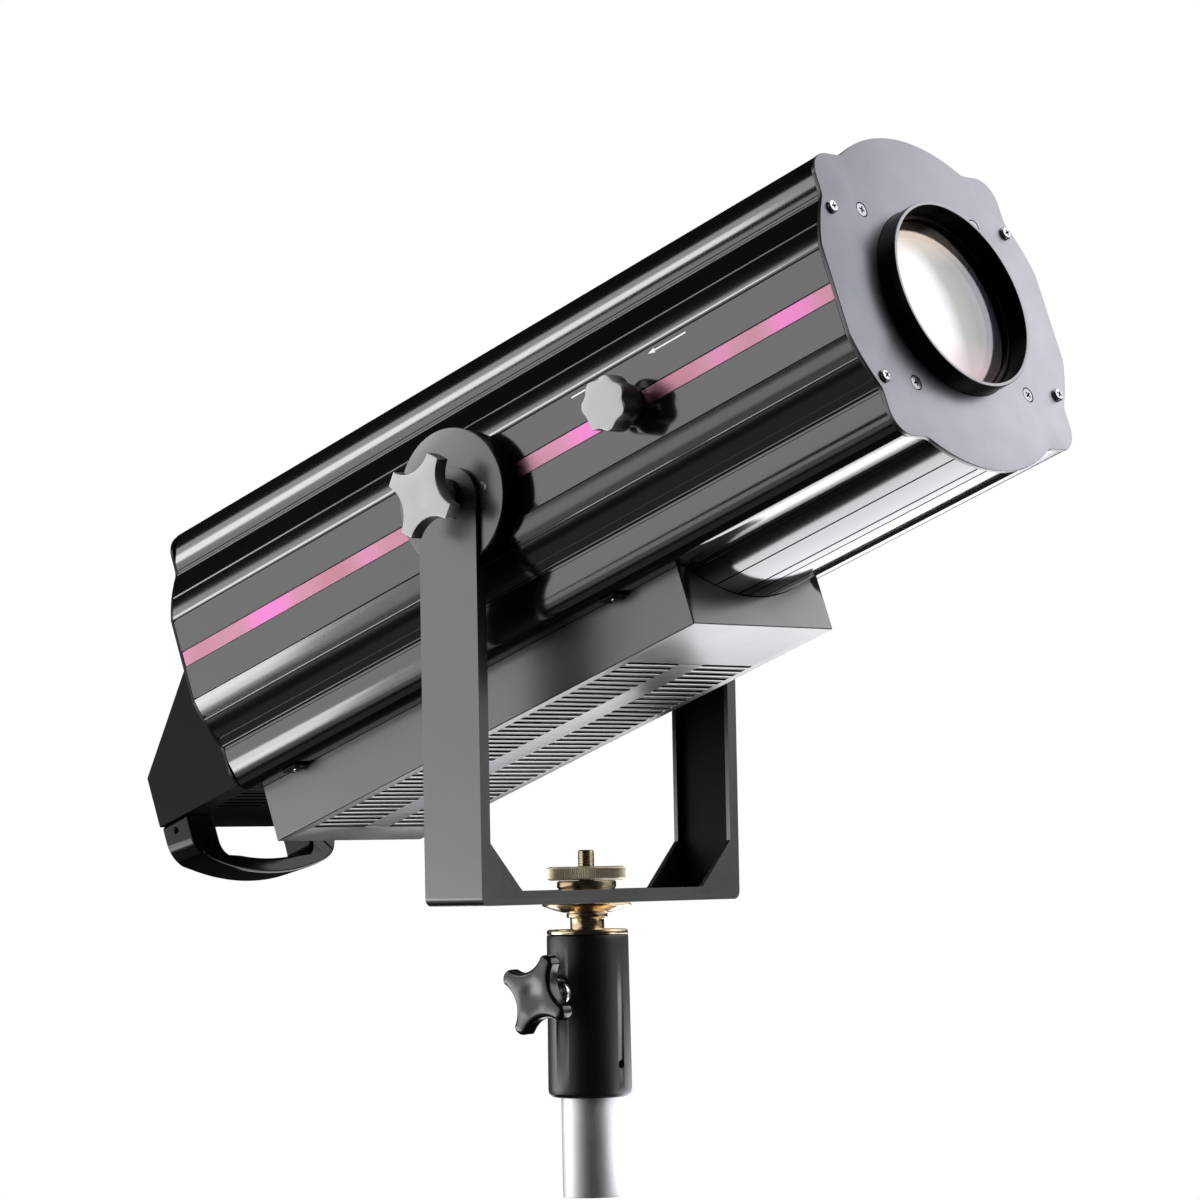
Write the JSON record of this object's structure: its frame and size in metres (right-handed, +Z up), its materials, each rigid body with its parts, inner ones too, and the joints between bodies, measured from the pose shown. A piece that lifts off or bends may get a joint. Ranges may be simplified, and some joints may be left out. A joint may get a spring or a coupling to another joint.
{
  "type": "followspot",
  "caption": "Long-barrelled followspot in a U yoke on a stand spigot, with tilt clamps, a rack-focused lens, a rear control box and a slotted power supply tray.",
  "frame": {"origin": "centre of the stand tube's lower end, on the pan axis", "axes": "+Z up the pan axis, +X the way the lamp faces seen from above, +Y across the yoke towards the far arm"},
  "size_m": [0.6238, 0.284, 0.608],
  "materials": {
    "button_down": "grey key",
    "button_enter": "grey key",
    "button_menu": "grey key",
    "button_up": "grey key",
    "clamp_collar": "yellow zinc plated steel",
    "condenser_lens": "clear lens",
    "control_panel": "dark grey panel",
    "cup_washer": "yellow zinc plated spring steel",
    "data_sockets": "black die-cast sockets",
    "display_window": "dark tinted window",
    "fan_frame": "black moulding",
    "fan_rotor": "black moulding",
    "flange_screw_lower_far": "bright plated cross-head screw",
    "flange_screw_lower_near": "bright plated cross-head screw",
    "flange_screw_upper_far": "bright plated cross-head screw",
    "flange_screw_upper_near": "bright plated cross-head screw",
    "focus_carriage": "black carriage with a rack",
    "focus_knob": "black moulded knob",
    "focus_lens": "clear lens",
    "focus_shaft": "steel shaft with its pinion",
    "friction_disc_far": "grey friction disc",
    "friction_disc_near": "grey friction disc",
    "front_lens": "clear convex lens",
    "front_plate": "dark grey gloss plate",
    "guide_rod_far": "ground steel rod",
    "guide_rod_near": "ground steel rod",
    "heat_sink": "extruded fins",
    "housing_bottom": "satin black extrusion",
    "housing_far": "satin black extrusion with fine grooves",
    "housing_near": "satin black extrusion with fine grooves",
    "housing_top": "satin black extrusion",
    "knurled_nut": "yellow zinc plated, knurled rim",
    "led_module": "white board with a yellow emitter",
    "lens_barrel": "black anodised hood and flange",
    "lens_retaining_ring": "black ring",
    "optics_plate": "turned plate with a tube",
    "pivot_hub_far": "black turned hub with a threaded stud",
    "pivot_hub_near": "black turned hub with a threaded stud",
    "plate_screw_lower_far": "bright plated cross-head screw",
    "plate_screw_lower_near": "bright plated cross-head screw",
    "plate_screw_upper_far": "bright plated cross-head screw",
    "plate_screw_upper_near": "bright plated cross-head screw",
    "power_inlet": "black moulding",
    "power_rocker": "red rocker",
    "power_supply": "bare aluminium case",
    "psu_cover": "black folded sheet with cooling slots",
    "rear_cover": "black folded sheet",
    "rear_handle": "glossy black moulded handle",
    "rear_plate": "dark grey plate",
    "socket_clamp_bolt": "bright plated steel",
    "socket_knob": "black moulded knob",
    "spigot": "yellow zinc plated steel",
    "stand_socket": "satin black powder coat",
    "stand_tube": "satin drawn aluminium tube",
    "stripe_far": "pink inlaid strip",
    "stripe_near": "pink inlaid strip",
    "tilt_knob_far": "black moulded knob",
    "tilt_knob_near": "black moulded knob",
    "tube_end_plug": "black moulded plug",
    "yoke": "satin black powder coat on folded steel"
  },
  "bodies": {
    "stand": {"stand_tube": "stand_tube", "tube_end_plug": "tube_end_plug", "stand_socket": "stand_socket"},
    "pan_head": {"spigot": "spigot", "cup_washer": "cup_washer", "clamp_collar": "clamp_collar", "yoke": "yoke"},
    "lamp": {"condenser_lens": "condenser_lens", "control_panel": "control_panel", "data_sockets": "data_sockets", "display_window": "display_window", "fan_frame": "fan_frame", "flange_screw_lower_far": "flange_screw_lower_far", "flange_screw_lower_near": "flange_screw_lower_near", "flange_screw_upper_far": "flange_screw_upper_far", "flange_screw_upper_near": "flange_screw_upper_near", "friction_disc_far": "friction_disc_far", "friction_disc_near": "friction_disc_near", "front_lens": "front_lens", "front_plate": "front_plate", "guide_rod_far": "guide_rod_far", "guide_rod_near": "guide_rod_near", "heat_sink": "heat_sink", "housing_bottom": "housing_bottom", "housing_far": "housing_far", "housing_near": "housing_near", "housing_top": "housing_top", "led_module": "led_module", "lens_barrel": "lens_barrel", "lens_retaining_ring": "lens_retaining_ring", "optics_plate": "optics_plate", "pivot_hub_far": "pivot_hub_far", "pivot_hub_near": "pivot_hub_near", "plate_screw_lower_far": "plate_screw_lower_far", "plate_screw_lower_near": "plate_screw_lower_near", "plate_screw_upper_far": "plate_screw_upper_far", "plate_screw_upper_near": "plate_screw_upper_near", "power_inlet": "power_inlet", "power_supply": "power_supply", "psu_cover": "psu_cover", "rear_cover": "rear_cover", "rear_handle": "rear_handle", "rear_plate": "rear_plate", "stripe_far": "stripe_far", "stripe_near": "stripe_near"},
    "tilt_knob_near": {"tilt_knob_near": "tilt_knob_near"},
    "tilt_knob_far": {"tilt_knob_far": "tilt_knob_far"},
    "focus_control": {"focus_knob": "focus_knob", "focus_shaft": "focus_shaft"},
    "focus_group": {"focus_carriage": "focus_carriage", "focus_lens": "focus_lens"},
    "fan": {"fan_rotor": "fan_rotor"},
    "rocker": {"power_rocker": "power_rocker"},
    "key_menu": {"button_menu": "button_menu"},
    "key_down": {"button_down": "button_down"},
    "key_up": {"button_up": "button_up"},
    "key_enter": {"button_enter": "button_enter"},
    "socket_clamp": {"socket_knob": "socket_knob", "socket_clamp_bolt": "socket_clamp_bolt"},
    "nut": {"knurled_nut": "knurled_nut"}
  },
  "joints": [
    {"name": "pan", "type": "hinge", "parent": "stand", "child": "pan_head", "pos_m": [0, 0, 0.15], "axis": [0, 0, 1], "continuous": true},
    {"name": "socket_clamp_turn", "type": "hinge", "parent": "stand", "child": "socket_clamp", "pos_m": [0, -0.03, 0.1214], "axis": [0, -1, 0], "continuous": true},
    {"name": "nut_turn", "type": "hinge", "parent": "pan_head", "child": "nut", "pos_m": [0, 0, 0.193], "axis": [0, 0, 1], "continuous": true},
    {"name": "tilt", "type": "hinge", "parent": "pan_head", "child": "lamp", "pos_m": [0, 0, 0.4133], "axis": [0, -1, 0], "range_deg": [-69, 30]},
    {"name": "tilt_knob_near_turn", "type": "hinge", "parent": "lamp", "child": "tilt_knob_near", "pos_m": [0, -0.13, 0.4133], "axis": [0, -1, 0], "continuous": true},
    {"name": "tilt_knob_far_turn", "type": "hinge", "parent": "lamp", "child": "tilt_knob_far", "pos_m": [0, 0.13, 0.4133], "axis": [0, 1, 0], "continuous": true},
    {"name": "focus_slide", "type": "slide", "parent": "lamp", "child": "focus_group", "axis": [0.9435, 0, 0.3315], "range_m": [-0.035, 0.035]},
    {"name": "focus_knob_turn", "type": "hinge", "parent": "lamp", "child": "focus_control", "pos_m": [0.12642, -0.11, 0.45772], "axis": [0, -1, 0], "range_deg": [-201, 201]},
    {"name": "fan_spin", "type": "hinge", "parent": "lamp", "child": "fan", "pos_m": [-0.16982, 0, 0.35363], "axis": [0.9435, 0, 0.3315], "continuous": true},
    {"name": "rocker_tilt", "type": "hinge", "parent": "lamp", "child": "rocker", "pos_m": [-0.30635, -0.0014, 0.24143], "axis": [0, 1, 0], "range_deg": [0, 16]},
    {"name": "key_menu_press", "type": "slide", "parent": "lamp", "child": "key_menu", "axis": [0.888, 0, -0.4599], "range_m": [0, 0.0008], "stiffness_N_per_m": 500, "springref_m": -0.001},
    {"name": "key_down_press", "type": "slide", "parent": "lamp", "child": "key_down", "axis": [0.888, 0, -0.4599], "range_m": [0, 0.0008], "stiffness_N_per_m": 500, "springref_m": -0.001},
    {"name": "key_up_press", "type": "slide", "parent": "lamp", "child": "key_up", "axis": [0.888, 0, -0.4599], "range_m": [0, 0.0008], "stiffness_N_per_m": 500, "springref_m": -0.001},
    {"name": "key_enter_press", "type": "slide", "parent": "lamp", "child": "key_enter", "axis": [0.888, 0, -0.4599], "range_m": [0, 0.0008], "stiffness_N_per_m": 500, "springref_m": -0.001}
  ],
  "couplings": [
    {"joint": "focus_knob_turn", "follows": "focus_slide", "rad_per_m": 100}
  ]
}
